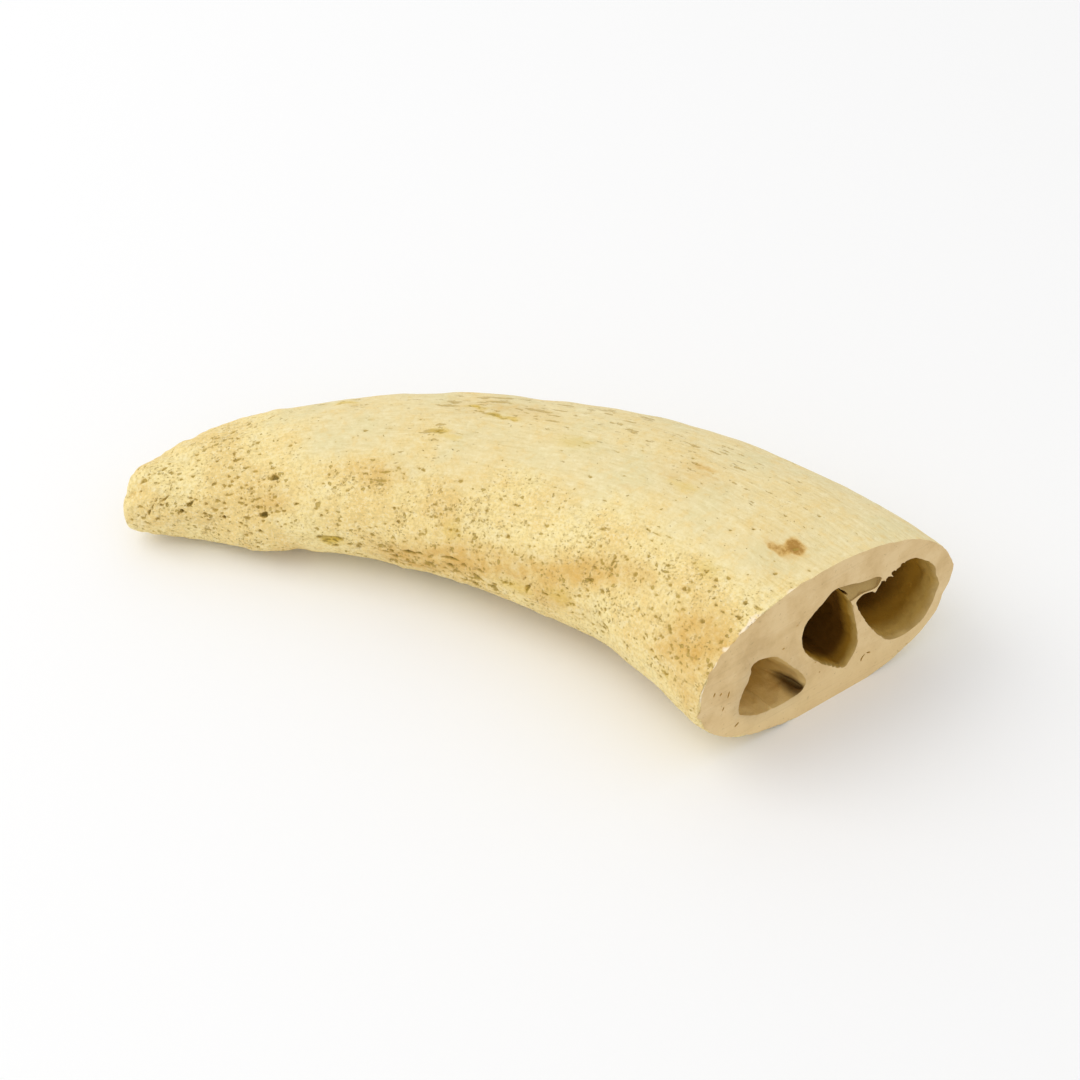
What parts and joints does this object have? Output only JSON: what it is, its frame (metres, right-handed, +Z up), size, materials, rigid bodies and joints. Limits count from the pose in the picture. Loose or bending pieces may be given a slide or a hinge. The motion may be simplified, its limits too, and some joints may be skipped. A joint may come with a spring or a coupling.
{
  "type": "bison horn core",
  "caption": "Bony core of a horn, curved and tapering to a worn blunt tip, sawn flat at its base where open air chambers show.",
  "frame": {"origin": "under the middle of the bounding box, on the surface that the horn lies on", "axes": "+X out of the sawn face, +Z up, +Y towards the outer side of the bend, so the tip points to -Y"},
  "size_m": [0.1506, 0.1419, 0.0456],
  "materials": {
    "bone": "dry, matt, porous bone, cream with ochre stains"
  },
  "bodies": {
    "root": {"horn": "bone"}
  },
  "joints": []
}
